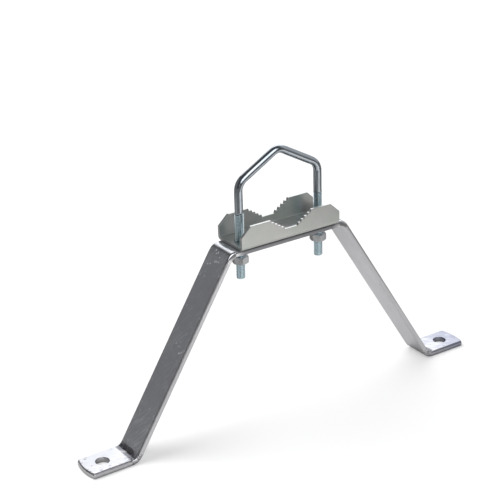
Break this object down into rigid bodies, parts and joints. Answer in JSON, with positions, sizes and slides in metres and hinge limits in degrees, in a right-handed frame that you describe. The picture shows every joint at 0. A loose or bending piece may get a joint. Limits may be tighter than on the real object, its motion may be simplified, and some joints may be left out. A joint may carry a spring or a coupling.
{
  "type": "mast stand-off bracket",
  "caption": "Bent flat-bar wall bracket that holds a mast at a stand-off in a toothed saddle under a pentagonal U-bolt.",
  "frame": {"origin": "on the wall plane, midway between the two feet", "axes": "+X along the strap, +Y along the mast, +Z out from the wall"},
  "size_m": [0.409, 0.037, 0.247],
  "materials": {
    "zinc_strap": "bright zinc plate",
    "zinc_saddle": "satin zinc plate",
    "zinc_rod": "bright zinc plate",
    "zinc_nut": "zinc plate"
  },
  "bodies": {
    "bracket": {"strap": "zinc_strap"},
    "saddle_plate": {"saddle": "zinc_saddle"},
    "clamp_bolt": {"u_bolt": "zinc_rod"},
    "left_nut": {"nut_left": "zinc_nut"},
    "right_nut": {"nut_right": "zinc_nut"}
  },
  "joints": [
    {"name": "u_bolt_slide", "type": "slide", "parent": "bracket", "child": "clamp_bolt", "axis": [0, 0, 1], "range_m": [-0.0375, 0.0125]},
    {"name": "nut_left_spin", "type": "hinge", "parent": "bracket", "child": "left_nut", "pos_m": [-0.041, 0, 0.1497], "axis": [0, 0, 1], "range_deg": [-3600, 10800]},
    {"name": "nut_right_spin", "type": "hinge", "parent": "bracket", "child": "right_nut", "pos_m": [0.041, 0, 0.1497], "axis": [0, 0, 1], "range_deg": [-3600, 10800]},
    {"name": "saddle_lift", "type": "slide", "parent": "bracket", "child": "saddle_plate", "axis": [0, 0, 1], "range_m": [0, 0.005]}
  ],
  "couplings": [
    {"joint": "nut_left_spin", "follows": "u_bolt_slide", "rad_per_m": -5026.5},
    {"joint": "nut_right_spin", "follows": "u_bolt_slide", "rad_per_m": -5026.5}
  ]
}
